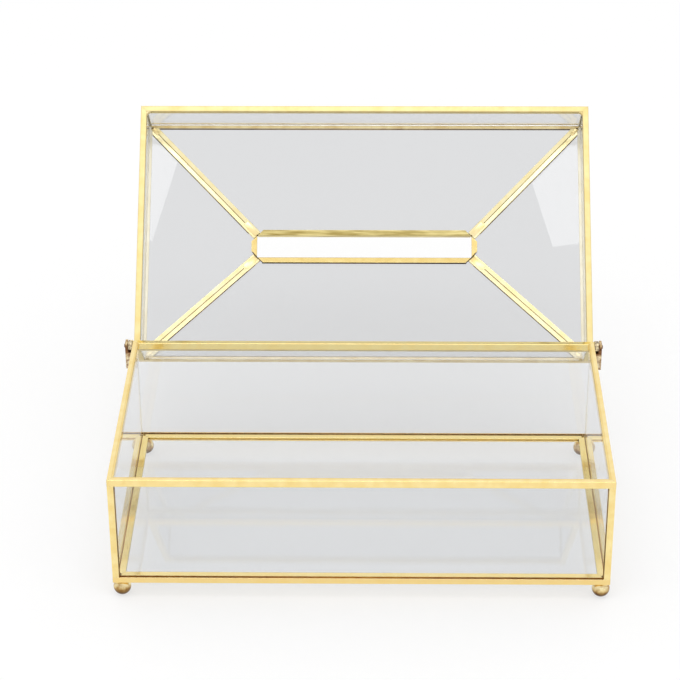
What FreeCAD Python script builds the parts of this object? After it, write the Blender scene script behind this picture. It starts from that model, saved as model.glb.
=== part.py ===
# A tissue box of clear glass panes held in folded brass strip, on four ball feet.
# Its lid, a skirt with a hipped roof and a long slot, turns on two pins at the rear corners.
# The origin is the middle of the footprint, on the surface that the feet stand on. The lid stands open.
import FreeCAD, Part
import os
import re
import Sketcher

SIZES = {
    # Overall box, over the metal
    "box_width": 250,
    "box_depth": 140,
    "frame_height": 61.4,
    # Glass, and the strip that is folded round it
    "glass_thickness": 2,
    "glass_play": 0.15,
    "sheet_thickness": 0.5,
    "bend_radius": 0.4,
    "rail_height": 3.3,
    "rim_height": 3.7,
    "floor_lip": 2.8,
    "post_flange": 3.3,
    "rear_post_flange": 2.3,
    # Ball feet
    "foot_radius": 4.5,
    "foot_inset": 4.2,
    "foot_seat_cut": 0.1,
    "foot_rest_cut": 0.15,
    # Lid
    "lid_gap": 0.5,
    "skirt_height": 28.5,
    "roof_rise": 14.5,
    "slot_length": 122,
    "slot_width": 13,
    "slot_strip_width": 3.1,
    "strip_gap": 0.35,
    "eave_drop": 3.4,
    "eave_flange": 2.2,
    "eave_lining": 0.7,
    "hip_flange": 2.5,
    "lid_open_angle": 133.5,
    # Hinges
    "hinge_inset": 0.8,
    "hinge_drop": 2.9,
    "hinge_play": 0.3,
    "pin_radius": 0.75,
    "pin_play": 0.05,
    "pin_head_radius": 1.4,
    "pin_crown_radius": 0.9,
    "pin_head_height": 0.6,
    "lug_thickness": 2.2,
    "lug_width": 4,
    "lug_eye_radius": 2.6,
    "lug_pad_height": 9,
    "bracket_thickness": 1.4,
    "bracket_width": 5,
    "bracket_height": 15.4,
    "bracket_top_drop": 0.4,
    "bracket_foot_height": 9.9,
    # How far a cutting shape runs past what it cuts
    "overrun": 5,
}

# Widths and heights that follow from the sizes
glass_inset = "(sheet_thickness + glass_play)"
glass_inner = f"({glass_inset} + glass_thickness)"
rail_width = "(glass_thickness + 2 * glass_play + 2 * sheet_thickness)"
foot_height = "(2 * foot_radius - foot_seat_cut - foot_rest_cut)"
rim_top = f"({foot_height} + frame_height)"
lid_bottom = f"({rim_top} + lid_gap)"
eave = f"({lid_bottom} + skirt_height)"
ridge = f"({eave} + roof_rise)"
run_wide = "((box_width - slot_length) / 2)"
run_deep = "((box_depth - slot_width) / 2)"
# A thickness square to the roof is longer by this share when it is measured upright
upright_share = f"sqrt(1 + (roof_rise / {run_deep}) ^ 2)"
roof_thickness = f"(glass_thickness * {upright_share})"
roof_play = f"(glass_play * {upright_share})"
roof_skin = f"({glass_inset} * {upright_share})"
hip_line = f"sqrt({run_wide} ^ 2 + {run_deep} ^ 2)"
hinge_y = "(box_depth / 2 - hinge_inset)"
hinge_z = f"({rim_top} - hinge_drop)"
lug_outer = "(hinge_play + lug_thickness)"
bracket_inner = f"({lug_outer} + hinge_play)"
bracket_outer = f"({bracket_inner} + bracket_thickness)"

# Each side is modelled as the front and turned: angle, length, depth, and the slot's length and depth
SIDES = {
    "front": (0, "box_width", "box_depth", "slot_length", "slot_width"),
    "right": (90, "box_depth", "box_width", "slot_width", "slot_length"),
    "back": (180, "box_width", "box_depth", "slot_length", "slot_width"),
    "left": (270, "box_depth", "box_width", "slot_width", "slot_length"),
}
# Signs of X and Y at each corner, and the turn of a corner post from the front left one
CORNERS = {
    "front_left": (-1, -1, 0),
    "front_right": (1, -1, 90),
    "back_right": (1, 1, 180),
    "back_left": (-1, 1, 270),
}
ENDS = {"left": -1, "right": 1}
ALONG = FreeCAD.Vector(1, 0, 0)
ACROSS = FreeCAD.Vector(0, 1, 0)
UPRIGHT = FreeCAD.Vector(0, 0, 1)
QUARTER_TURN = 90
# An edge nearer to a post's outer corner than this share of the strip's thickness is its fold
fold_share = 0.5
level_tolerance = 1e-6

doc = FreeCAD.newDocument("glass_tissue_box")
sheet = doc.addObject("Spreadsheet::Sheet", "Sizes")
for row, (alias, value) in enumerate(SIZES.items(), start=1):
    sheet.set(f"A{row}", str(value))
    sheet.setAlias(f"A{row}", alias)
doc.recompute()
base_pieces = []
lid_pieces = []


def cell(word):
    return f"Sizes.{word}" if word in SIZES else word


def bind(piece, **expressions):
    """Bind properties to the sheet. A double underscore in a property's name stands for a dot."""
    for name, expression in expressions.items():
        in_cells = re.sub(r"[a-z_]+", lambda word: cell(word.group()), expression)
        piece.setExpression(name.replace("__", "."), in_cells)


def keep(pieces, label, piece):
    piece.Label = label
    pieces.append(piece)


def about(half):
    """Limits at the same distance on both sides of the middle."""
    return f"-({half})", half


def block(name, x, y, z, far_x=None, turn=0):
    """A block between limits. With far_x, its plan changes from x at the front to far_x at the back."""
    piece = doc.addObject("Part::Wedge", name)
    far_x = far_x or x
    bind(piece, Xmin=x[0], Xmax=x[1], X2min=far_x[0], X2max=far_x[1], Ymin=y[0], Ymax=y[1])
    bind(piece, Zmin=z[0], Zmax=z[1], Z2min=z[0], Z2max=z[1])
    piece.Placement.Rotation = FreeCAD.Rotation(UPRIGHT, turn)
    return piece


def centred_block(name, half_wide, half_deep, z):
    return block(name, about(half_wide), about(half_deep), z)


def roof_solid(name, lift):
    """The room under the roof's outer glass faces, raised or lowered by a lift."""
    piece = doc.addObject("Part::Wedge", name)
    foot_wide = f"box_width / 2 + skirt_height * {run_wide} / roof_rise"
    foot_deep = f"box_depth / 2 + skirt_height * {run_deep} / roof_rise"
    bind(piece, Ymin=f"{lid_bottom} + {lift}", Ymax=f"{ridge} + {lift}")
    bind(piece, Xmin=f"-({foot_wide})", Xmax=foot_wide, Zmin=f"-({foot_deep})", Zmax=foot_deep)
    bind(piece, X2min="-slot_length / 2", X2max="slot_length / 2")
    bind(piece, Z2min="-slot_width / 2", Z2max="slot_width / 2")
    piece.Placement.Rotation = FreeCAD.Rotation(ALONG, QUARTER_TURN)
    return piece


def rod(name, radius, end, start, length, tip_radius=None):
    """A round bar on the hinge axis that runs outwards from one end of the box."""
    piece = doc.addObject("Part::Cone" if tip_radius else "Part::Cylinder", name)
    if tip_radius:
        bind(piece, Radius1=radius, Radius2=tip_radius)
    else:
        bind(piece, Radius=radius)
    bind(piece, Height=length, Placement__Base__x=f"{end} * (box_width / 2 + {start})")
    bind(piece, Placement__Base__y=hinge_y, Placement__Base__z=hinge_z)
    piece.Placement.Rotation = FreeCAD.Rotation(ACROSS, end * QUARTER_TURN)
    return piece


def outwards(end, near, far):
    """Limits along X, measured outwards from one end face of the box."""
    limits = [f"{end} * (box_width / 2 + {near})", f"{end} * (box_width / 2 + {far})"]
    return limits[::end]


def cut(name, base, *tools):
    for i, tool in enumerate(tools):
        piece = doc.addObject("Part::Cut", f"{name}_{i}")
        piece.Base = base
        piece.Tool = tool
        base = piece
    return base


def common(name, *shapes):
    piece = doc.addObject("Part::MultiCommon", name)
    piece.Shapes = list(shapes)
    return piece


def fuse(name, *shapes):
    piece = doc.addObject("Part::MultiFuse", name)
    piece.Shapes = list(shapes)
    return piece


def fold(name, rail, top, count):
    """Round the longest edges of a rail's top or bottom face, where the strip is folded."""
    doc.recompute()
    limits = rail.Shape.BoundBox
    level = limits.ZMax if top else limits.ZMin
    edges = [(edge.Length, i) for i, edge in enumerate(rail.Shape.Edges, start=1)
             if max(abs(edge.BoundBox.ZMin - level), abs(edge.BoundBox.ZMax - level)) < level_tolerance]
    radius = sheet.get("bend_radius")
    piece = doc.addObject("Part::Fillet", name)
    piece.Base = rail
    piece.Edges = [(i, radius, radius) for length, i in sorted(edges, reverse=True)[:count]]
    return piece


def mitred_bar(name, side, width, z):
    """A bar along a side's outer face, with its ends cut to meet the next sides' bars."""
    turn, length, depth = SIDES[side][:3]
    ends = about(f"({length}) / 2"), about(f"({length}) / 2 - {width}")
    return block(name, ends[0], (f"-{depth} / 2", f"-{depth} / 2 + {width}"), z, ends[1], turn)


def groove(name, side, near, far, z):
    """A straight cut along a side, past both ends of its bar, between two distances from the outer face."""
    turn, length, depth = SIDES[side][:3]
    band = (f"-{depth} / 2 + {near}", f"-{depth} / 2 + {far}")
    return block(name, about(f"{length} / 2 + overrun"), band, z, None, turn)


def upright_pane(name, side, z):
    """A pane behind a side's metal. The front and back panes cover the edges of the other two."""
    turn, length, depth = SIDES[side][:3]
    setback = glass_inset if side in ("front", "back") else f"({glass_inner} + glass_play)"
    face = (f"-{depth} / 2 + {glass_inset}", f"-{depth} / 2 + {glass_inner}")
    return block(name, about(f"{length} / 2 - {setback}"), face, z, None, turn)


def corner_post(name, corner, flange, low, high):
    """Angle strip outside the glass at a corner, drawn at the front left and turned to its own."""
    sign_x, sign_y, turn = CORNERS[corner]
    body = doc.addObject("PartDesign::Body", name)
    sketch = body.newObject("Sketcher::SketchObject", f"{name}_section")
    plane = [feature for feature in body.Origin.OriginFeatures if feature.Role == "XY_Plane"][0]
    sketch.AttachmentSupport = [(plane, "")]
    sketch.MapMode = "FlatFace"
    wide, thick = sheet.get(flange), sheet.get("sheet_thickness")
    points = [(0, 0), (wide, 0), (wide, thick), (thick, thick), (thick, wide), (0, wide)]
    corners = [FreeCAD.Vector(x, y, 0) for x, y in points]
    for start, end in zip(corners, corners[1:] + corners[:1]):
        sketch.addGeometry(Part.LineSegment(start, end))
    for line in range(len(points)):
        following = (line + 1) % len(points)
        sketch.addConstraint(Sketcher.Constraint("Coincident", line, 2, following, 1))
        direction = "Vertical" if line % 2 else "Horizontal"
        sketch.addConstraint(Sketcher.Constraint(direction, line))
    sketch.addConstraint(Sketcher.Constraint("Coincident", 0, 1, -1, 1))
    line_sizes = [flange, "sheet_thickness", None, None, "sheet_thickness", flange]
    for line, alias in enumerate(line_sizes):
        if alias:
            index = sketch.addConstraint(Sketcher.Constraint("Distance", line, sheet.get(alias)))
            bind(sketch, **{f"Constraints[{index}]": alias})
    pad = body.newObject("PartDesign::Pad", f"{name}_length")
    pad.Profile = sketch
    bind(pad, Length=f"{high} - {low}")
    doc.recompute()
    bend = [i for i, edge in enumerate(pad.Shape.Edges, start=1)
            if max(edge.BoundBox.XMax, edge.BoundBox.YMax) < thick * fold_share]
    fillet = body.newObject("PartDesign::Fillet", f"{name}_bend")
    fillet.Base = (pad, [f"Edge{i}" for i in bend])
    bind(fillet, Radius="bend_radius")
    bind(body, Placement__Base__x=f"{sign_x} * box_width / 2")
    bind(body, Placement__Base__y=f"{sign_y} * box_depth / 2")
    bind(body, Placement__Base__z=low)
    body.Placement.Rotation = FreeCAD.Rotation(UPRIGHT, turn)
    return body


# Base: walls in channel rails. A bottom rail is two square channels, one for a wall and one for the floor
for side in SIDES:
    low, high = foot_height, rim_top
    pane = upright_pane(f"{side}_wall", side, (f"{low} + {glass_inset}", f"{high} - {glass_inset}"))
    keep(base_pieces, f"{side}_wall_pane", pane)

    bar = mitred_bar(f"{side}_rim_bar", side, rail_width, (f"{high} - rim_height", high))
    room = groove(f"{side}_rim_room", side, "sheet_thickness", f"{rail_width} - sheet_thickness",
                  (f"{high} - rim_height - overrun", f"{high} - sheet_thickness"))
    rail = cut(f"{side}_rim", bar, room)
    keep(base_pieces, f"{side}_rim_rail", fold(f"{side}_rim_folded", rail, top=True, count=2))

    lipped_width = f"({rail_width} + floor_lip)"
    bar = mitred_bar(f"{side}_bottom_bar", side, lipped_width, (low, f"{low} + {rail_width}"))
    wall_room = groove(f"{side}_wall_room", side, "sheet_thickness", f"{rail_width} - sheet_thickness",
                       (f"{low} + sheet_thickness", f"{low} + {rail_width} + overrun"))
    floor_room = groove(f"{side}_floor_room", side, rail_width, f"{lipped_width} + overrun",
                        (f"{low} + sheet_thickness", f"{low} + {rail_width} - sheet_thickness"))
    rail = cut(f"{side}_bottom", bar, wall_room, floor_room)
    keep(base_pieces, f"{side}_bottom_rail", fold(f"{side}_bottom_folded", rail, top=False, count=1))

floor_low = f"{foot_height} + {glass_inset}"
floor_z = (floor_low, f"{floor_low} + glass_thickness")
floor_setback = f"({rail_width} + glass_play)"
half_floor = (f"box_width / 2 - {floor_setback}", f"box_depth / 2 - {floor_setback}")
keep(base_pieces, "floor_pane", centred_block("floor", *half_floor, floor_z))

for corner, (sign_x, sign_y, turn) in CORNERS.items():
    post_z = (f"({foot_height} + {rail_width})", f"({rim_top} - rim_height)")
    # The rear posts are narrow, so that they hide behind the edges of the side walls
    flange = "rear_post_flange" if sign_y > 0 else "post_flange"
    keep(base_pieces, f"{corner}_post", corner_post(f"{corner}_base_post", corner, flange, *post_z))

    # The ball is flat where it is soldered to the rails and where it stands
    foot = doc.addObject("Part::Sphere", f"{corner}_ball")
    bind(foot, Radius="foot_radius")
    bind(foot, Angle1="-asin(1 - foot_rest_cut / foot_radius)")
    bind(foot, Angle2="asin(1 - foot_seat_cut / foot_radius)")
    bind(foot, Placement__Base__x=f"{sign_x} * (box_width / 2 - foot_inset)")
    bind(foot, Placement__Base__y=f"{sign_y} * (box_depth / 2 - foot_inset)")
    bind(foot, Placement__Base__z="foot_radius - foot_rest_cut")
    keep(base_pieces, f"{corner}_foot", foot)

# Lid, modelled closed: a skirt in channel rails, and roof panes held in eave, hip and slot strips
tall = (lid_bottom, f"{ridge} + overrun")
half_box = ("box_width / 2", "box_depth / 2")
half_slot = ("slot_length / 2", "slot_width / 2")


def grown(halves, margin):
    return [f"{half} + {margin}" for half in halves]


def hip_slab(name, corner, half_width, start, end):
    """A tall slab along a hip's line, between two distances from the slot's corner."""
    sign_x, sign_y, turn = CORNERS[corner]
    slab = block(name, (start, end), about(half_width), tall)
    bind(slab, Placement__Base__x=f"{sign_x} * slot_length / 2")
    bind(slab, Placement__Base__y=f"{sign_y} * slot_width / 2")
    bind(slab, Placement__Rotation__Angle=f"atan2({sign_y} * {run_deep}; {sign_x} * {run_wide})")
    return slab


roof_inner = roof_solid("roof_inner", f"-{roof_thickness}")
roof_glass = cut("roof_glass", roof_solid("roof_outer", "0"), roof_inner)
roof_plan = centred_block("roof_plan", *grown(half_box, f"-{glass_inset}"), tall)
glass_slot = centred_block("glass_slot", *grown(half_slot, glass_inset), tall)
slot_web = centred_block("slot_web", *grown(half_slot, "sheet_thickness"), tall)
hip_rooms = [hip_slab(f"{corner}_hip_room", corner, "sheet_thickness / 2 + glass_play",
                      "-overrun", f"{hip_line} + overrun") for corner in CORNERS]
roof_shell = cut("roof_shell", common("roof_trimmed", roof_glass, roof_plan), glass_slot, *hip_rooms)

# Skins of strip over and under the roof glass
roof_fold = roof_solid("roof_fold", roof_skin)
roof_clear = roof_solid("roof_clear", roof_play)
under_fold = roof_solid("under_fold", f"-({roof_thickness} + {roof_skin})")
under_clear = roof_solid("under_clear", f"-({roof_thickness} + {roof_play})")
over_skin = cut("over_skin", roof_fold, roof_clear)
under_skin = cut("under_skin", under_clear, under_fold)
full_skin = cut("full_skin", roof_fold, under_fold)

# The eave strip grips the edge of the roof glass, and hangs down outside the skirt glass
eave_low = f"{eave} - eave_drop"
eave_full = common("eave_full", roof_fold, centred_block("eave_plan", *half_box, (eave_low, tall[1])))
eave_core = centred_block("eave_core", *grown(half_box, "-sheet_thickness"), tall)
eave_room = common("eave_room", roof_clear, eave_core)
eave_outer = cut("eave_outer", eave_full, eave_room)
lining_edge = f"-({rail_width} + eave_lining)"
lining_middle = centred_block("lining_middle", *grown(half_box, lining_edge), tall)
lining_plan = centred_block("lining_plan", *half_box, tall)
eave_under = cut("eave_under", common("eave_lining", under_skin, lining_plan), lining_middle)
eave_middle = centred_block("eave_middle", *grown(half_box, "-eave_flange"), tall)
eave_over = cut("eave_over", eave_outer, eave_middle)
eave_ring = fuse("eave_ring", eave_over, eave_under)

slot_plan = centred_block("slot_plan", *grown(half_slot, "slot_strip_width"), tall)
slot_mouth = centred_block("slot_mouth", *half_slot, tall)
slot_room = cut("slot_room", roof_clear, under_clear, slot_web)
# The ends of the slot strips are cut square to the hips
slot_ends = [hip_slab(f"{corner}_slot_end", corner, "2 * slot_strip_width", "-strip_gap", hip_line)
             for corner in CORNERS]
slot_ring = cut("slot_ring", common("slot_bar", full_skin, slot_plan), slot_mouth, slot_room, *slot_ends)

# A hip strip has flanges over and under the glass, joined by a web between the panes
hip_over = common("hip_over", over_skin, eave_middle)
hip_under = common("hip_under", under_skin, lining_middle)
hip_core = common("hip_core", full_skin, lining_middle)

for side, (turn, length, depth, slot_along, slot_across) in SIDES.items():
    bar = mitred_bar(f"{side}_lid_bar", side, rail_width, (lid_bottom, f"{lid_bottom} + rail_height"))
    room = groove(f"{side}_lid_room", side, "sheet_thickness", f"{rail_width} - sheet_thickness",
                  (f"{lid_bottom} + sheet_thickness", f"{lid_bottom} + rail_height + overrun"))
    rail = cut(f"{side}_lid", bar, room)
    keep(lid_pieces, f"lid_{side}_rail", fold(f"{side}_lid_folded", rail, top=False, count=2))

    skirt_top = f"{eave} - {roof_thickness} - {roof_skin} - glass_play"
    skirt_z = (f"{lid_bottom} + {glass_inset}", skirt_top)
    keep(lid_pieces, f"lid_{side}_skirt_pane", upright_pane(f"{side}_skirt", side, skirt_z))

    # The sector between two hips runs past the eave and into the slot
    hip_slope = f"(({length} - {slot_along}) / ({depth} - {slot_across}))"
    outer_x = about(f"{length} / 2 + overrun * {hip_slope}")
    inner_x = about(f"{slot_along} / 2 - slot_strip_width * {hip_slope}")
    sector_y = (f"-{depth} / 2 - overrun", f"-{slot_across} / 2 + slot_strip_width")
    sector = block(f"{side}_sector", outer_x, sector_y, tall, inner_x, turn)
    keep(lid_pieces, f"lid_{side}_roof_pane", common(f"{side}_roof", roof_shell, sector))
    keep(lid_pieces, f"lid_{side}_eave_strip", common(f"{side}_eave", eave_ring, sector))
    keep(lid_pieces, f"lid_{side}_slot_strip", common(f"{side}_slot", slot_ring, sector))

for corner in CORNERS:
    post_z = (f"({lid_bottom} + rail_height)", f"({eave} - eave_drop)")
    keep(lid_pieces, f"lid_{corner}_post", corner_post(f"{corner}_lid_post", corner, "post_flange", *post_z))

    zone = hip_slab(f"{corner}_hip_zone", corner, "hip_flange", "0", hip_line)
    web = hip_slab(f"{corner}_hip_web", corner, "sheet_thickness / 2", "0", hip_line)
    over = common(f"{corner}_hip_over", hip_over, zone)
    under = common(f"{corner}_hip_under", hip_under, zone)
    core = common(f"{corner}_hip_core", hip_core, web)
    keep(lid_pieces, f"lid_{corner}_hip_strip", fuse(f"{corner}_hip", over, under, core))

# Hinges: a bracket and a riveted pin on each end of the base, and a lug with an eye on the lid between them
for name, end in ENDS.items():
    plate_top = f"{rim_top} - bracket_top_drop"
    plate_low = f"{plate_top} - bracket_height"
    plate_y = (f"{hinge_y} - bracket_width / 2", f"{hinge_y} + bracket_width / 2")
    plate_x = outwards(end, bracket_inner, bracket_outer)
    plate = block(f"{name}_plate", plate_x, plate_y, (plate_low, plate_top))
    foot_y = (plate_y[0], "box_depth / 2")
    foot_z = (plate_low, f"{plate_low} + bracket_foot_height")
    foot = block(f"{name}_plate_foot", outwards(end, "0", bracket_outer), foot_y, foot_z)
    pin_hole = rod(f"{name}_pin_hole", "pin_radius", end, "0", f"{bracket_outer} + overrun")
    bracket = cut(f"{name}_bracket", fuse(f"{name}_bracket_whole", plate, foot), pin_hole)
    keep(base_pieces, f"{name}_hinge_bracket", bracket)

    shank = rod(f"{name}_shank", "pin_radius", end, "0", bracket_outer)
    head = rod(f"{name}_head", "pin_head_radius", end, bracket_outer, "pin_head_height",
               "pin_crown_radius")
    keep(base_pieces, f"{name}_hinge_pin", fuse(f"{name}_pin", shank, head))

    eye = rod(f"{name}_eye", "lug_eye_radius", end, "hinge_play", "lug_thickness")
    lug_y = ("box_depth / 2 - lug_width", "box_depth / 2")
    arm = block(f"{name}_arm", outwards(end, "hinge_play", lug_outer), lug_y, (hinge_z, lid_bottom))
    pad_z = (lid_bottom, f"{lid_bottom} + lug_pad_height")
    pad = block(f"{name}_pad", outwards(end, "0", lug_outer), lug_y, pad_z)
    eye_hole = rod(f"{name}_eye_hole", "pin_radius + pin_play", end, "0", f"{lug_outer} + overrun")
    lug = cut(f"{name}_lug", fuse(f"{name}_lug_whole", eye, arm, pad), eye_hole)
    keep(lid_pieces, f"{name}_hinge_lug", lug)

# The lid is swung open about the pins
hinge_axis = doc.addObject("Part::Vertex", "hinge_axis")
bind(hinge_axis, Y=hinge_y, Z=hinge_z)
doc.recompute()
hinge_point = FreeCAD.Vector(hinge_axis.X.Value, hinge_axis.Y.Value, hinge_axis.Z.Value)
swing = FreeCAD.Rotation(ALONG, -sheet.get("lid_open_angle"))
lid_open = FreeCAD.Placement(FreeCAD.Vector(), swing, hinge_point)
for piece in lid_pieces:
    for place in ("x", "y", "z"):
        piece.setExpression(f"Placement.Base.{place}", None)
    piece.Placement = lid_open.multiply(piece.Placement)

for piece in doc.Objects:
    if "Invalid" in piece.State or "Error" in piece.State:
        raise RuntimeError(f"{piece.Label} failed: {piece.State}")
os.makedirs("parts", exist_ok=True)
for piece in base_pieces + lid_pieces:
    if piece.Shape.isNull() or not piece.Shape.isValid() or len(piece.Shape.Solids) != 1:
        raise RuntimeError(f"{piece.Label} is not one sound solid")
for piece in base_pieces + lid_pieces:
    piece.Shape.exportStep(f"parts/{piece.Label}.step")
print(f"{len(base_pieces)} base pieces, {len(lid_pieces)} lid pieces, hinge at {hinge_point}")
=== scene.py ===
import math

import bpy
import bmesh
from mathutils import Matrix, Vector, noise


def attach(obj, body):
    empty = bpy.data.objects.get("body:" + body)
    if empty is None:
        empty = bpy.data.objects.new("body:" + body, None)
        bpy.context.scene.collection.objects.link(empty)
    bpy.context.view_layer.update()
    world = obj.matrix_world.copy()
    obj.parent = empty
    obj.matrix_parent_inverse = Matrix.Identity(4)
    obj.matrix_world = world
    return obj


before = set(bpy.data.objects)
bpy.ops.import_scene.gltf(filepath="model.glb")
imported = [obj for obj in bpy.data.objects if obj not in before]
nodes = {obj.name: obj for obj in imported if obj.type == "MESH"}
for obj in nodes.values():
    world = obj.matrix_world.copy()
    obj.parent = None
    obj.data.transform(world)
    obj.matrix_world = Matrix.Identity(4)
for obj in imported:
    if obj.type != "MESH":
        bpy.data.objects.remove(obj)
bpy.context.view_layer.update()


# Rails and posts of the base: brass sheet half a millimetre thick, folded into channels over and under the
# walls and into angles at the corners, and soldered. It is polished and lacquered, and a little uneven from
# the folding. Painted stripes run along the rails: a painted highlight along the middle of the rims, with
# painted shade towards their edges, and painted shade on the bottom rails, deepest over the groove.
SIDES = ("front", "right", "back", "left")
CORNERS = ("front_left", "front_right", "back_right", "back_left")
half_wide, half_deep = 0.125, 0.070
rail_width = 0.0033
bottom_shade_stripes_width = 0.0040
# Sockets of a Mix node for colours: its first and second colour, and what it gives out
first_colour, second_colour, mixed_colour = 6, 7, 2


def gilt(name, pale, deep, rubbed_and_highlit_edge, roughness, blotches=160.0, streak=1.0):
    """Polished brass in two tones, with edges and bends rubbed to a third; where that third is paler, it is
    also a painted highlight along them. A small streak draws the tones out in x.
    """
    metal = bpy.data.materials.new(name)
    metal.use_nodes = True
    tree = metal.node_tree
    shader = tree.nodes["Principled BSDF"]
    shader.inputs["Metallic"].default_value = 1.0
    place = tree.nodes.new("ShaderNodeTexCoord")

    drawn_out = tree.nodes.new("ShaderNodeMapping")
    drawn_out.inputs["Scale"].default_value = (streak, 1, 1)
    tree.links.new(place.outputs["Object"], drawn_out.inputs["Vector"])
    waves = tree.nodes.new("ShaderNodeTexNoise")
    waves.inputs["Scale"].default_value = blotches
    waves.inputs["Detail"].default_value = 3.0
    tree.links.new(drawn_out.outputs["Vector"], waves.inputs["Vector"])
    contrast = tree.nodes.new("ShaderNodeMapRange")
    contrast.inputs["From Min"].default_value = 0.33
    contrast.inputs["From Max"].default_value = 0.67
    tree.links.new(waves.outputs["Fac"], contrast.inputs["Value"])
    tone = tree.nodes.new("ShaderNodeMix")
    tone.data_type = "RGBA"
    tone.inputs[first_colour].default_value = (*pale, 1)
    tone.inputs[second_colour].default_value = (*deep, 1)
    tree.links.new(contrast.outputs["Result"], tone.inputs[0])

    rounded = tree.nodes.new("ShaderNodeBevel")
    rounded.samples = 6
    rounded.inputs["Radius"].default_value = 0.0004
    plain = tree.nodes.new("ShaderNodeNewGeometry")
    turned = tree.nodes.new("ShaderNodeVectorMath")
    turned.operation = "DOT_PRODUCT"
    tree.links.new(rounded.outputs["Normal"], turned.inputs[0])
    tree.links.new(plain.outputs["Normal"], turned.inputs[1])
    # Edges and bends take the third tone: rubbed wear, and where that tone is paler, a painted highlight
    edge = tree.nodes.new("ShaderNodeMapRange")
    edge.inputs["From Min"].default_value = 0.75
    edge.inputs["From Max"].default_value = 0.99
    tree.links.new(turned.outputs["Value"], edge.inputs["Value"])
    worn_and_highlit = tree.nodes.new("ShaderNodeMix")
    worn_and_highlit.data_type = "RGBA"
    worn_and_highlit.inputs[first_colour].default_value = (*rubbed_and_highlit_edge, 1)
    tree.links.new(edge.outputs["Result"], worn_and_highlit.inputs[0])
    tree.links.new(tone.outputs[mixed_colour], worn_and_highlit.inputs[second_colour])
    tree.links.new(worn_and_highlit.outputs[mixed_colour], shader.inputs["Base Color"])

    rubbed = tree.nodes.new("ShaderNodeTexNoise")
    rubbed.inputs["Scale"].default_value = 700.0
    rubbed.inputs["Detail"].default_value = 2.0
    tree.links.new(place.outputs["Object"], rubbed.inputs["Vector"])
    polish = tree.nodes.new("ShaderNodeMapRange")
    polish.inputs["To Min"].default_value = roughness * 0.9
    polish.inputs["To Max"].default_value = roughness * 1.15
    tree.links.new(rubbed.outputs["Fac"], polish.inputs["Value"])
    tree.links.new(polish.outputs["Result"], shader.inputs["Roughness"])

    dents = tree.nodes.new("ShaderNodeBump")
    dents.inputs["Strength"].default_value = 0.25
    dents.inputs["Distance"].default_value = 0.0002
    tree.links.new(waves.outputs["Fac"], dents.inputs["Height"])
    tree.links.new(rounded.outputs["Normal"], dents.inputs["Normal"])
    tree.links.new(dents.outputs["Normal"], shader.inputs["Normal"])
    return metal


def tint_by(finish, measure, low, high, stops):
    """Multiply a finish's colour by tints. A stop is a share of the measure's span and the tint there."""
    tree = finish.node_tree
    shader = tree.nodes["Principled BSDF"]
    plain_colour = shader.inputs["Base Color"].links[0].from_socket
    span = tree.nodes.new("ShaderNodeMapRange")
    span.inputs["From Min"].default_value = low
    span.inputs["From Max"].default_value = high
    tree.links.new(measure(tree), span.inputs["Value"])
    tint = tree.nodes.new("ShaderNodeValToRGB")
    ramp = tint.color_ramp
    ramp.elements[0].color = (*stops[0][1], 1)
    ramp.elements[1].color = (*stops[-1][1], 1)
    for share, colour in stops[1:-1]:
        ramp.elements.new(share).color = (*colour, 1)
    tree.links.new(span.outputs["Result"], tint.inputs["Fac"])
    stained = tree.nodes.new("ShaderNodeMix")
    stained.data_type = "RGBA"
    stained.blend_type = "MULTIPLY"
    stained.inputs[0].default_value = 1.0
    tree.links.new(plain_colour, stained.inputs[first_colour])
    tree.links.new(tint.outputs["Color"], stained.inputs[second_colour])
    tree.links.new(stained.outputs[mixed_colour], shader.inputs["Base Color"])


def inwards(tree):
    """The distance of a point from the nearest outer face of the box."""
    place = tree.nodes.new("ShaderNodeTexCoord")
    apart = tree.nodes.new("ShaderNodeVectorMath")
    apart.operation = "ABSOLUTE"
    tree.links.new(place.outputs["Object"], apart.inputs[0])
    left_over = tree.nodes.new("ShaderNodeVectorMath")
    left_over.operation = "SUBTRACT"
    left_over.inputs[0].default_value = (half_wide, half_deep, 0)
    tree.links.new(apart.outputs["Vector"], left_over.inputs[1])
    parts = tree.nodes.new("ShaderNodeSeparateXYZ")
    tree.links.new(left_over.outputs["Vector"], parts.inputs[0])
    nearest = tree.nodes.new("ShaderNodeMath")
    nearest.operation = "MINIMUM"
    tree.links.new(parts.outputs["X"], nearest.inputs[0])
    tree.links.new(parts.outputs["Y"], nearest.inputs[1])
    return nearest.outputs["Value"]


base_brass = gilt("base_brass", (0.99, 0.82, 0.40), (0.93, 0.71, 0.28), (1.0, 0.90, 0.54), 0.16)
rim_brass = gilt("rim_brass", (0.99, 0.82, 0.42), (0.95, 0.74, 0.32), (1.0, 0.92, 0.58), 0.16)
# The back rim takes a paler copy of the rim brass, painted light against the shade inside the box
back_rim_lit_brass = gilt("back_rim_lit_brass", (1.0, 0.86, 0.43), (1.0, 0.82, 0.37), (1.0, 0.93, 0.58), 0.10)
# Painted stripes across the rims: a painted highlight along the middle, painted shade towards the edges
for brass in (rim_brass, back_rim_lit_brass):
    tint_by(brass, inwards, 0, rail_width, (
        (0.0, (0.99, 0.96, 0.88)), (0.15, (1, 1, 1)), (0.55, (1, 1, 1)), (0.72, (0.90, 0.84, 0.72)),
        (1.0, (0.97, 0.95, 0.92))))
# The bottom rails take a paler copy of the frame's brass, painted light against the shade inside the box
bottom_lit_brass = gilt("bottom_lit_brass", (1.0, 0.82, 0.38), (1.0, 0.79, 0.33), (1.0, 0.90, 0.52), 0.10)
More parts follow.
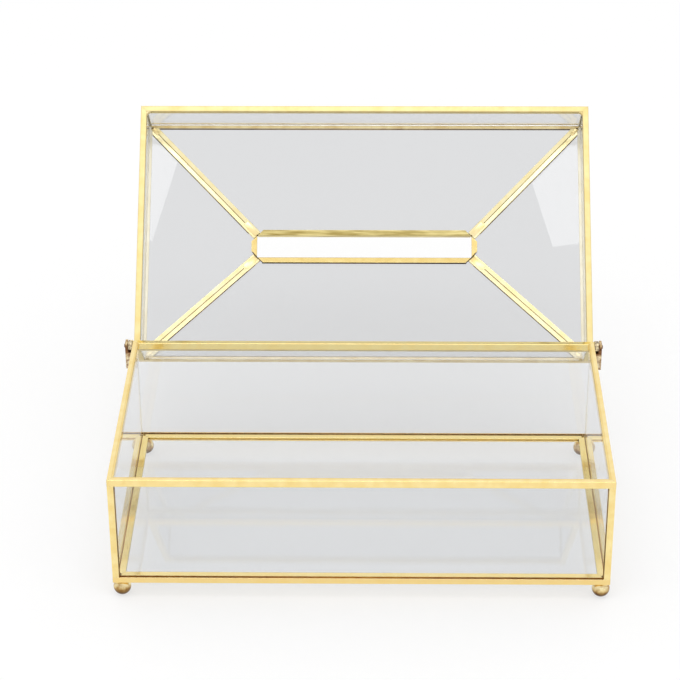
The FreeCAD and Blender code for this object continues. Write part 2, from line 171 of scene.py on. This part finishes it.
# Painted shade across the bottom rails: light on the outer face, deepest over the groove under the wall pane
tint_by(bottom_lit_brass, inwards, 0, bottom_shade_stripes_width, (
    (0.0, (0.93, 0.86, 0.80)), (0.08, (0.94, 0.87, 0.82)), (0.30, (0.90, 0.72, 0.45)),
    (0.60, (0.92, 0.75, 0.50)), (0.72, (1, 1, 1)), (1.0, (1, 1, 1))))
for side in SIDES:
    nodes[f"{side}_rim_rail"].data.materials[0] = back_rim_lit_brass if side == "back" else rim_brass
    nodes[f"{side}_bottom_rail"].data.materials[0] = bottom_lit_brass
for corner in CORNERS:
    nodes[f"{corner}_post"].data.materials[0] = base_brass


# Ball feet: solid brass balls with a small flat top and bottom, soldered under the corners of the rails.
# Towards the table they are darkened as painted shade, with a painted highlight band above it.
foot_painted_light_top = 0.009


def height_over_table(tree):
    """The height of a point over the table."""
    place = tree.nodes.new("ShaderNodeTexCoord")
    parts = tree.nodes.new("ShaderNodeSeparateXYZ")
    tree.links.new(place.outputs["Object"], parts.inputs[0])
    return parts.outputs["Z"]


foot_brass = gilt("foot_brass", (1.0, 0.89, 0.54), (0.40, 0.22, 0.06), (0.90, 0.74, 0.42), 0.10, 260.0)
# Painted shade low on the balls, a painted highlight band above, and painted shade again under the rails
tint_by(foot_brass, height_over_table, 0, foot_painted_light_top, (
    (0.0, (0.16, 0.10, 0.06)), (0.29, (0.22, 0.15, 0.09)), (0.44, (0.46, 0.33, 0.20)),
    (0.58, (0.92, 0.84, 0.70)), (0.70, (1, 1, 1)), (0.88, (0.95, 0.90, 0.85)), (1.0, (0.66, 0.52, 0.36))))
for corner in CORNERS:
    nodes[f"{corner}_foot"].data.materials[0] = foot_brass


# Seams of the base: flux and polish dried to a thin bead where a strip ends on the glass, darkened as
# painted shade of the gap between strip and glass. It is brown along the front posts and inside the back
# bottom rail, and amber over the front bottom rail and inside the side ones.
frame_low, frame_high = 0.00875, 0.07015
rail_height, rim_height = 0.0033, 0.0037
post_low, post_high = frame_low + rail_height, frame_high - rim_height
glass_outer, glass_inner = 0.00065, 0.00265
seam_width, seam_height = 0.0006, 0.0002
rail_seam_width = 0.0003
front_seam_width, front_seam_rise = 0.0008, 0.00042


def bead(shape, start, end, up, width, thickness):
    """A low rounded bead between two points of a face, which looks towards up."""
    start, end, up = Vector(start), Vector(end), Vector(up).normalized()
    along = (end - start).normalized()
    turn = Matrix((up.cross(along), up, along)).transposed().to_4x4()
    size = Matrix.Diagonal((width / 2, thickness / 2, (end - start).length, 1))
    place = Matrix.Translation((start + end) / 2 + up * thickness / 2) @ turn @ size
    bmesh.ops.create_cone(shape, cap_ends=True, segments=10, radius1=1, radius2=1, depth=1, matrix=place)


def add_piece(name, shape, material, body):
    """Make a bmesh a smooth piece with the given finish, which rides on a body."""
    # The shells face outwards as they are made. Recalculating would turn some that are this small inside out
    for face in shape.faces:
        face.smooth = True
    mesh = bpy.data.meshes.new(name)
    shape.to_mesh(mesh)
    shape.free()
    mesh.materials.append(material)
    piece = bpy.data.objects.new(name, mesh)
    bpy.context.scene.collection.objects.link(piece)
    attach(piece, body)


seam_brown = gilt("seam_brown", (0.44, 0.31, 0.13), (0.24, 0.14, 0.045), (0.40, 0.27, 0.10), 0.35)
seam_amber = gilt("seam_amber", (0.50, 0.24, 0.04), (0.30, 0.11, 0.015), (0.46, 0.22, 0.04), 0.35)
seams = bmesh.new()
amber = bmesh.new()
seam_x, seam_y = half_wide - rail_width - seam_width / 2, half_deep - rail_width - seam_width / 2
lower_seam = post_low + rail_seam_width / 2
front_seam = post_low + front_seam_rise
front_face, rear_face = -(half_deep - glass_outer), half_deep - glass_inner
# Each bead is dark partly as dried flux and partly as painted shade of the gap between strip and glass
for sign in (-1, 1):
    x = sign * seam_x
    outer_x, inner_x = sign * (half_wide - glass_outer), sign * (half_wide - glass_inner)
    bead(seams, (x, front_face, post_low), (x, front_face, post_high), (0, -1, 0), seam_width, seam_height)
    bead(seams, (outer_x, -seam_y, post_low), (outer_x, -seam_y, post_high), (sign, 0, 0),
         seam_width, seam_height)
    bead(amber, (inner_x, -seam_y, lower_seam), (inner_x, seam_y, lower_seam), (-sign, 0, 0),
         rail_seam_width, seam_height)
bead(amber, (-seam_x, front_face, front_seam), (seam_x, front_face, front_seam), (0, -1, 0),
     front_seam_width, seam_height)
bead(seams, (-seam_x, rear_face, lower_seam), (seam_x, rear_face, lower_seam), (0, -1, 0),
     rail_seam_width, seam_height)
add_piece("base_seams_and_shade", seams, seam_brown, "base")
add_piece("base_amber_seams_and_shade", amber, seam_amber, "base")


# Solder and flux of the base: pale lumps of solder tie the feet to the corners of the bottom rails, run on
# with an iron and left uneven. Brown flux has dried in the inner corners of those rails.
tie_inset, tie_drop = 0.0024, 0.0003
tie_halves = (0.0019, 0.0019, 0.0012)
flux_inset, flux_drop = 0.0004, 0.0002
flux_halves = (0.0007, 0.0007, 0.0009)
unevenness, dimples = 0.12, 900


def lump(shape, centre, halves, turn=0.0):
    """An uneven lump with given half sizes."""
    place = Matrix.Translation(centre) @ Matrix.Rotation(turn, 4, "Z") @ Matrix.Diagonal((*halves, 1))
    made = bmesh.ops.create_icosphere(shape, subdivisions=3, radius=1, matrix=place)
    for vert in made["verts"]:
        offset = vert.co - Vector(centre)
        vert.co = Vector(centre) + offset * (1 + unevenness * noise.noise(vert.co * dimples))


solder_pale = gilt("solder_pale", (0.98, 0.84, 0.48), (0.90, 0.70, 0.30), (1.0, 0.92, 0.62), 0.28)
base_solder = bmesh.new()
flux = bmesh.new()
for sign_x in (-1, 1):
    for sign_y in (-1, 1):
        tie = (sign_x * (half_wide - tie_inset), sign_y * (half_deep - tie_inset), frame_low - tie_drop)
        lump(base_solder, tie, tie_halves)
        inside = (sign_x * (half_wide - rail_width - flux_inset),
                  sign_y * (half_deep - rail_width - flux_inset), post_low - flux_drop)
        lump(flux, inside, flux_halves)
add_piece("base_flux", flux, seam_brown, "base")
add_piece("base_solder", base_solder, solder_pale, "base")


# Wall panes and floor pane: float glass two millimetres thick, clear with a faint grey cast, slid into
# the rails. It carries light smudges, and is very slightly wavy. The back pane is the greyest.
def clear_glass(name, thin, thick):
    """Clear glass whose tint drifts between two tones."""
    glass = bpy.data.materials.new(name)
    glass.use_nodes = True
    tree = glass.node_tree
    shader = tree.nodes["Principled BSDF"]
    shader.inputs["Transmission Weight"].default_value = 1.0
    shader.inputs["IOR"].default_value = 1.46
    place = tree.nodes.new("ShaderNodeTexCoord")

    cloud = tree.nodes.new("ShaderNodeTexNoise")
    cloud.inputs["Scale"].default_value = 9.0
    cloud.inputs["Detail"].default_value = 2.0
    tree.links.new(place.outputs["Object"], cloud.inputs["Vector"])
    tint = tree.nodes.new("ShaderNodeMix")
    tint.data_type = "RGBA"
    tint.inputs[first_colour].default_value = (*thin, 1)
    tint.inputs[second_colour].default_value = (*thick, 1)
    tree.links.new(cloud.outputs["Fac"], tint.inputs[0])
    tree.links.new(tint.outputs[mixed_colour], shader.inputs["Base Color"])

    smudge = tree.nodes.new("ShaderNodeTexNoise")
    smudge.inputs["Scale"].default_value = 60.0
    smudge.inputs["Detail"].default_value = 5.0
    tree.links.new(place.outputs["Object"], smudge.inputs["Vector"])
    haze = tree.nodes.new("ShaderNodeMapRange")
    haze.inputs["From Min"].default_value = 0.5
    haze.inputs["From Max"].default_value = 0.8
    haze.inputs["To Min"].default_value = 0.0
    haze.inputs["To Max"].default_value = 0.04
    tree.links.new(smudge.outputs["Fac"], haze.inputs["Value"])
    tree.links.new(haze.outputs["Result"], shader.inputs["Roughness"])

    wave = tree.nodes.new("ShaderNodeBump")
    wave.inputs["Strength"].default_value = 0.02
    wave.inputs["Distance"].default_value = 0.0005
    tree.links.new(cloud.outputs["Fac"], wave.inputs["Height"])
    tree.links.new(wave.outputs["Normal"], shader.inputs["Normal"])
    return glass


wall_glass = clear_glass("wall_glass", (0.932, 0.938, 0.945), (0.918, 0.924, 0.931))
back_glass = clear_glass("back_glass", (0.852, 0.858, 0.866), (0.837, 0.843, 0.852))
floor_glass = clear_glass("floor_glass", (0.918, 0.925, 0.932), (0.902, 0.909, 0.916))
for side in SIDES:
    nodes[f"{side}_wall_pane"].data.materials[0] = back_glass if side == "back" else wall_glass
nodes["floor_pane"].data.materials[0] = floor_glass


# Hinges: a cranked bracket soldered to each end of the base, a lug on the lid, and a riveted pin.
# They are left raw, so they are browner than the frame, and the pins are nearly black. The brackets carry
# painted shade, darkest in a band just below the pin, where the lug meets them.
hinge_shade_low, hinge_shade_high = 0.054, 0.071
hinge_brass = gilt("hinge_brass", (1.0, 0.90, 0.64), (0.34, 0.19, 0.09), (0.55, 0.38, 0.22), 0.25, 620.0)
# Painted shade on the brackets by height, darkest in a band just below the pin
tint_by(hinge_brass, height_over_table, hinge_shade_low, hinge_shade_high, (
    (0.0, (0.80, 0.66, 0.55)), (0.15, (1, 1, 1)), (0.50, (0.95, 0.88, 0.78)), (0.60, (0.34, 0.19, 0.12)),
    (0.78, (0.34, 0.20, 0.13)), (0.90, (0.85, 0.74, 0.58)), (1.0, (1, 0.96, 0.86))))
pin_brass = gilt("pin_brass", (0.20, 0.09, 0.06), (0.06, 0.02, 0.015), (0.36, 0.22, 0.14), 0.35, 500.0)
lug_brass = gilt("lug_brass", (0.98, 0.84, 0.54), (0.06, 0.02, 0.012), (0.50, 0.34, 0.18), 0.26, 620.0)
for end in ("left", "right"):
    nodes[f"{end}_hinge_bracket"].data.materials[0] = hinge_brass
    nodes[f"{end}_hinge_lug"].data.materials[0] = lug_brass
    nodes[f"{end}_hinge_pin"].data.materials[0] = pin_brass


# Lid frame: the same brass sheet, folded into channel rails round the open edge, angle posts at the skirt's
# corners, strips along the eaves and hips, and a channel round the tissue slot, all soldered. The front
# slot strip is streaked along its length, and the eave strips are duller than the hips. The end eave strips
# are near white as a painted highlight, and gold only on faces that look out of the lid.
lid_open_angle = math.radians(133.5)
end_eave_highlight_from = 0.6


def into_lid(tree):
    """One for a face that looks straight into the lid, minus one for one that looks out of its top."""
    place = tree.nodes.new("ShaderNodeTexCoord")
    facing = tree.nodes.new("ShaderNodeVectorMath")
    facing.operation = "DOT_PRODUCT"
    facing.inputs[1].default_value = (0, -math.sin(lid_open_angle), -math.cos(lid_open_angle))
    tree.links.new(place.outputs["Normal"], facing.inputs[0])
    return facing.outputs["Value"]


# The lid's rails and posts take a darker copy of the brass, painted shade that tones down the softbox in
# them
lid_brass = gilt("lid_brass", (0.86, 0.74, 0.38), (0.82, 0.66, 0.29), (0.92, 0.82, 0.48), 0.45)
slot_brass = gilt("slot_brass", (0.88, 0.70, 0.31), (0.81, 0.60, 0.22), (0.97, 0.88, 0.52), 0.22)
dull_brass = gilt("dull_brass", (0.92, 0.78, 0.35), (0.40, 0.29, 0.08), (0.90, 0.80, 0.46), 0.30,
                  blotches=800.0, streak=0.08)
hip_brass = gilt("hip_brass", (0.99, 0.90, 0.56), (0.96, 0.82, 0.43), (1.0, 0.94, 0.66), 0.22)
eave_brass = gilt("eave_brass", (0.90, 0.77, 0.44), (0.74, 0.56, 0.26), (0.95, 0.84, 0.54), 0.28)
# Near white as a painted highlight, turning gold on faces that look out of the lid
end_eave_highlit_brass = gilt("end_eave_highlit_brass", (0.98, 0.94, 0.79), (0.93, 0.87, 0.68), (0.96, 0.92, 0.78), 0.50)
tint_by(end_eave_highlit_brass, into_lid, 0, end_eave_highlight_from, ((0.0, (0.97, 0.84, 0.48)), (1.0, (1, 1, 1))))
for side in SIDES:
    nodes[f"lid_{side}_rail"].data.materials[0] = lid_brass
    eave_finish = eave_brass if side in ("front", "back") else end_eave_highlit_brass
    nodes[f"lid_{side}_eave_strip"].data.materials[0] = eave_finish
    nodes[f"lid_{side}_slot_strip"].data.materials[0] = dull_brass if side == "front" else slot_brass
for corner in CORNERS:
    nodes[f"lid_{corner}_post"].data.materials[0] = lid_brass
    nodes[f"lid_{corner}_hip_strip"].data.materials[0] = hip_brass


# Seams of the lid: brown beads inside the front and back eaves and along one edge of each hip, which are
# painted shade along those edges, and a fine brown line down the middle of the hip. Like all the lid's
# trim they are drawn for the closed lid, and swung open with it.
eave, rise = 0.09915, 0.0145
slot_half_long, slot_half_wide = 0.061, 0.0065
run_wide, run_deep = half_wide - slot_half_long, half_deep - slot_half_wide
pane_drop, strip_drop = 0.00205, 0.00272
eave_strip_reach = 0.0040
hip_flange = 0.0025
hip_shade_start, hip_line_start, hip_seam_stop = 0.004, 0.010, 0.009
hip_shade_width = 0.6 * seam_width
hip_line_width, hip_line_height = 0.0004, 0.0001
downwards = (0, 0, -1)
hinge = Vector((0, 0.0692, 0.06725))
lid_open = (Matrix.Translation(hinge) @ Matrix.Rotation(-lid_open_angle, 4, "X")
            @ Matrix.Translation(-hinge))


def under_roof(x, y, drop):
    """A point of the roof's inner side over a place in plan."""
    share = min((half_wide - abs(x)) / run_wide, (half_deep - abs(y)) / run_deep)
    return Vector((x, y, eave + rise * share - drop))


def hips():
    """Each hip in plan: its signs in x and y, the slot's corner that it leaves, its direction and length."""
    for sign_x in (-1, 1):
        for sign_y in (-1, 1):
            slot_corner = Vector((sign_x * slot_half_long, sign_y * slot_half_wide))
            run = Vector((sign_x * run_wide, sign_y * run_deep))
            yield sign_x, sign_y, slot_corner, run.normalized(), run.length


lid_seams_and_shade = bmesh.new()
# Brown beads inside the front and back eaves, painted shade along their edges
for sign in (-1, 1):
    roof_face = (0, -sign * rise / run_deep, -1)
    x, y = half_wide - 2 * eave_strip_reach, sign * (half_deep - eave_strip_reach - seam_width / 2)
    bead(lid_seams_and_shade, under_roof(-x, y, pane_drop), under_roof(x, y, pane_drop), roof_face,
         seam_width, seam_height)
for sign_x, sign_y, slot_corner, along, length in hips():
    # The brown bead, painted shade, runs along a hip's lower edge when the lid stands open
    lower_edge = Vector((-along.y, along.x)) * sign_x * (hip_flange + seam_width / 2)
    ends = [slot_corner + along * reach + lower_edge for reach in (hip_shade_start, length - hip_seam_stop)]
    points = [under_roof(*end, pane_drop) for end in ends]
    bead(lid_seams_and_shade, *points, downwards, hip_shade_width, seam_height)
    ends = [slot_corner + along * reach for reach in (hip_line_start, length - hip_seam_stop)]
    points = [under_roof(*end, strip_drop) for end in ends]
    bead(lid_seams_and_shade, *points, downwards, hip_line_width, hip_line_height)
lid_seams_and_shade.transform(lid_open)
add_piece("lid_seams_and_shade", lid_seams_and_shade, seam_brown, "lid")


# Dark gaps of the lid: the folded strips don't quite meet at the corners of the slot and at the front ends
# of the eaves, and flux has burnt nearly black in them. A dark line along the rear slot strip is painted
# shade.
slot_strip_width = 0.0031
slot_shade_line_width = 1.3 * seam_width
speck_halves = (0.00045, 0.00045, 0.0004)
mitre_gap_width, end_gap_width, gap_height = 0.0004, 0.0005, 0.0002
end_gap_x, end_gap_y, end_gap_drop = 0.0024, -0.0028, 0.0003
eave_gap_back, eave_gap_turn = 0.0058, 0.4
eave_gap_halves = (0.0011, 0.0005, 0.0003)

speck_brown = gilt("speck_brown", (0.17, 0.09, 0.03), (0.07, 0.03, 0.01), (0.14, 0.08, 0.03), 0.40)
specks = bmesh.new()
x, y = slot_half_long - slot_strip_width, slot_half_wide + slot_strip_width + seam_width / 2
rear_roof_face = (0, -rise / run_deep, -1)
# The dark line along the rear slot strip's lower edge is painted shade
bead(specks, under_roof(-x, y, pane_drop), under_roof(x, y, pane_drop), rear_roof_face,
     slot_shade_line_width, seam_height)
for sign_x, sign_y, slot_corner, along, length in hips():
    lump(specks, under_roof(*slot_corner, strip_drop), speck_halves)
    if sign_y > 0:
        mitre = slot_corner + Vector((-sign_x * slot_strip_width, slot_strip_width))
        bead(specks, under_roof(*slot_corner, strip_drop), under_roof(*mitre, strip_drop), downwards,
             mitre_gap_width, gap_height)
        gap_ends = (slot_corner, slot_corner + Vector((sign_x * end_gap_x, end_gap_y)))
        points = [under_roof(*end, strip_drop + end_gap_drop) for end in gap_ends]
        bead(specks, *points, downwards, end_gap_width, gap_height)
    else:
        eave_corner = slot_corner + along * (length - eave_gap_back)
        lump(specks, under_roof(*eave_corner, strip_drop), eave_gap_halves, sign_x * eave_gap_turn)
specks.transform(lid_open)
add_piece("lid_specks", specks, speck_brown, "lid")


# Solder of the lid: each hip ends under a flat pale pad at the slot and under a narrow one at the eaves, and
# a fillet fills each inner corner of the rails. It was run on with an iron and rubbed flat.
slot_pad_reaches, slot_pad_width = (0.0002, 0.0095), 2.16 * hip_flange
eave_pad_backs, eave_pad_width = (0.0105, 0.0056), 0.0024
pad_thickness, pad_rounding = 0.0005, 0.0002
lid_low = 0.07065
fillet_radius, fillet_height = 0.0024, 0.0030
fillet_arc = [math.radians(angle) for angle in range(0, 91, 15)]


def pad(shape, near, far, across, width):
    """A flat pad of solder between two points, with rounded edges."""
    lengthwise = (far - near).normalized()
    turn = Matrix((lengthwise, across, lengthwise.cross(across))).transposed().to_4x4()
    size = Matrix.Diagonal(((far - near).length, width, pad_thickness, 1))
    place = Matrix.Translation((near + far) / 2) @ turn @ size
    made = bmesh.ops.create_cube(shape, size=1, matrix=place)
    edges = dict.fromkeys(edge for vert in made["verts"] for edge in vert.link_edges)
    bmesh.ops.bevel(shape, geom=list(edges), offset=pad_rounding, offset_type="OFFSET", affect="EDGES",
                    segments=2, profile=0.5, material=-1)


lid_solder = bmesh.new()
for sign_x, sign_y, slot_corner, along, length in hips():
    across = Vector((-along.y, along.x, 0))
    slot_pad = [under_roof(*(slot_corner + along * reach), strip_drop) for reach in slot_pad_reaches]
    pad(lid_solder, *slot_pad, across, slot_pad_width)
    eave_pad = [under_roof(*(slot_corner + along * (length - back)), strip_drop) for back in eave_pad_backs]
    pad(lid_solder, *eave_pad, across, eave_pad_width)
    rail_corner = Vector((sign_x * (half_wide - rail_width), sign_y * (half_deep - rail_width), lid_low))
    outline = [rail_corner]
    for angle in fillet_arc:
        off_x, off_y = fillet_radius * (1 - math.sin(angle)), fillet_radius * (1 - math.cos(angle))
        outline.append(rail_corner + Vector((-sign_x * off_x, -sign_y * off_y, 0)))
    # Seen from above, the outline runs anticlockwise, so that the fillet faces outwards
    if sign_x != sign_y:
        outline.reverse()
    fillet = lid_solder.faces.new([lid_solder.verts.new(point) for point in outline])
    raised = bmesh.ops.extrude_face_region(lid_solder, geom=[fillet])["geom"]
    raised_verts = [item for item in raised if isinstance(item, bmesh.types.BMVert)]
    bmesh.ops.translate(lid_solder, verts=raised_verts, vec=(0, 0, fillet_height))
lid_solder.transform(lid_open)
add_piece("lid_solder", lid_solder, solder_pale, "lid")


# Lid panes: greyer sheet in the four roof slopes and the skirt, apart from the rear of the skirt, which is
# nearly clear. They sit in the folds of the strips, and the upper and lower cut edges of the grey skirt
# panes are ground and a little yellow.
lid_thin, lid_thick = (0.735, 0.74, 0.75), (0.72, 0.725, 0.735)
cut_edge_yellow = (1, 0.95, 0.80)


def grind_edges(glass):
    """Make the upper and lower cut edges of a skirt pane matt."""
    tree = glass.node_tree
    shader = tree.nodes["Principled BSDF"]
    smudged = shader.inputs["Roughness"].links[0].from_socket
    either_way = tree.nodes.new("ShaderNodeMath")
    either_way.operation = "ABSOLUTE"
    tree.links.new(into_lid(tree), either_way.inputs[0])
    ground = tree.nodes.new("ShaderNodeMapRange")
    ground.inputs["From Min"].default_value = 0.4
    ground.inputs["From Max"].default_value = 1.0
    ground.inputs["To Min"].default_value = 0.0
    ground.inputs["To Max"].default_value = 0.2
    tree.links.new(either_way.outputs["Value"], ground.inputs["Value"])
    duller = tree.nodes.new("ShaderNodeMath")
    duller.operation = "MAXIMUM"
    tree.links.new(smudged, duller.inputs[0])
    tree.links.new(ground.outputs["Result"], duller.inputs[1])
    tree.links.new(duller.outputs["Value"], shader.inputs["Roughness"])


lid_glass = clear_glass("lid_glass", lid_thin, lid_thick)
skirt_glass = clear_glass("skirt_glass", lid_thin, lid_thick)
tint_by(skirt_glass, into_lid, -1, 1, (
    (0.0, cut_edge_yellow), (0.3, (1, 1, 1)), (0.7, (1, 1, 1)), (1.0, cut_edge_yellow)))
grind_edges(skirt_glass)
rear_glass = clear_glass("rear_glass", (0.985, 0.988, 0.99), (0.975, 0.978, 0.98))
for side in SIDES:
    nodes[f"lid_{side}_skirt_pane"].data.materials[0] = rear_glass if side == "back" else skirt_glass
    nodes[f"lid_{side}_roof_pane"].data.materials[0] = lid_glass


# Floor: a wide sheet of plain pale paper under the box, which keeps the object's shadow. To the eye, and in
# metal and glass, most of it shines white.
floor_half_size = 8
white_share = 0.65
floor_mesh = bpy.data.meshes.new("studio_floor")
floor_shape = bmesh.new()
bmesh.ops.create_grid(floor_shape, x_segments=1, y_segments=1, size=floor_half_size)
floor_shape.to_mesh(floor_mesh)
floor_shape.free()
floor = bpy.data.objects.new("studio_floor", floor_mesh)
bpy.context.scene.collection.objects.link(floor)


def seen_rays(tree):
    """One for rays that the camera, polished metal or glass looks along, else zero."""
    path = tree.nodes.new("ShaderNodeLightPath")
    either = tree.nodes.new("ShaderNodeMath")
    either.operation = "MAXIMUM"
    tree.links.new(path.outputs["Is Camera Ray"], either.inputs[0])
    tree.links.new(path.outputs["Is Glossy Ray"], either.inputs[1])
    any_of = tree.nodes.new("ShaderNodeMath")
    any_of.operation = "MAXIMUM"
    tree.links.new(either.outputs["Value"], any_of.inputs[0])
    tree.links.new(path.outputs["Is Transmission Ray"], any_of.inputs[1])
    return any_of.outputs["Value"]


paper = bpy.data.materials.new("studio_paper")
paper.use_nodes = True
tree = paper.node_tree
shader = tree.nodes["Principled BSDF"]
shader.inputs["Base Color"].default_value = (0.95, 0.95, 0.95, 1)
shader.inputs["Roughness"].default_value = 0.9
shader.inputs["Specular IOR Level"].default_value = 0.1
white = tree.nodes.new("ShaderNodeEmission")
white.inputs["Strength"].default_value = 1.0
share = tree.nodes.new("ShaderNodeMath")
share.operation = "MULTIPLY"
share.inputs[1].default_value = white_share
tree.links.new(seen_rays(tree), share.inputs[0])
blend = tree.nodes.new("ShaderNodeMixShader")
tree.links.new(share.outputs["Value"], blend.inputs[0])
tree.links.new(shader.outputs[0], blend.inputs[1])
tree.links.new(white.outputs[0], blend.inputs[2])
tree.links.new(blend.outputs[0], tree.nodes["Material Output"].inputs["Surface"])
floor_mesh.materials.append(paper)


# Studio: a white room with even light from all round, and a softbox that hangs level above the box and in
# front of it.
world = bpy.data.worlds.new("studio")
bpy.context.scene.world = world
world.use_nodes = True
tree = world.node_tree
seen = tree.nodes["Background"]
seen.inputs["Color"].default_value = (1, 1, 1, 1)
seen.inputs["Strength"].default_value = 1.0
ambient = tree.nodes.new("ShaderNodeBackground")
ambient.inputs["Color"].default_value = (1, 1, 1, 1)
ambient.inputs["Strength"].default_value = 1.03
choice = tree.nodes.new("ShaderNodeMixShader")
tree.links.new(seen_rays(tree), choice.inputs[0])
tree.links.new(ambient.outputs[0], choice.inputs[1])
tree.links.new(seen.outputs[0], choice.inputs[2])
tree.links.new(choice.outputs[0], tree.nodes["World Output"].inputs["Surface"])

softbox = bpy.data.lights.new("softbox", "AREA")
softbox.shape = "RECTANGLE"
softbox.size = 0.59
softbox.size_y = 0.32
softbox.energy = 1.25
softbox_object = bpy.data.objects.new("softbox", softbox)
softbox_object.location = (-0.023, -0.26, 1.10)
bpy.context.scene.collection.objects.link(softbox_object)


# Camera: in front of the box and above it, as in the photo, with a long lens. Its place and its angles were
# fitted to the corners of the base and the lid.
camera_place = (0.009455, -1.019554, 0.685333)
yaw, pitch, roll = math.radians(-1.157), math.radians(29.425), math.radians(-0.397)
forward = Vector((math.sin(yaw) * math.cos(pitch), math.cos(yaw) * math.cos(pitch), -math.sin(pitch)))
level = Vector((math.cos(yaw), -math.sin(yaw), 0))
upward = level.cross(forward)
camera_right = math.cos(roll) * level + math.sin(roll) * upward
camera_up = math.cos(roll) * upward - math.sin(roll) * level
camera = bpy.data.cameras.new("camera")
camera.sensor_width = 36.0
camera.lens = 122.11
camera_object = bpy.data.objects.new("camera", camera)
camera_turn = Matrix((camera_right, camera_up, -forward)).transposed().to_4x4()
camera_object.matrix_world = Matrix.Translation(camera_place) @ camera_turn
bpy.context.scene.collection.objects.link(camera_object)
bpy.context.scene.camera = camera_object

bpy.context.scene.view_settings.view_transform = "Standard"
# Light has to pass many panes and strips before it leaves the box
bpy.context.scene.cycles.max_bounces = 32
bpy.context.scene.cycles.transmission_bounces = 32
bpy.context.scene.cycles.glossy_bounces = 16
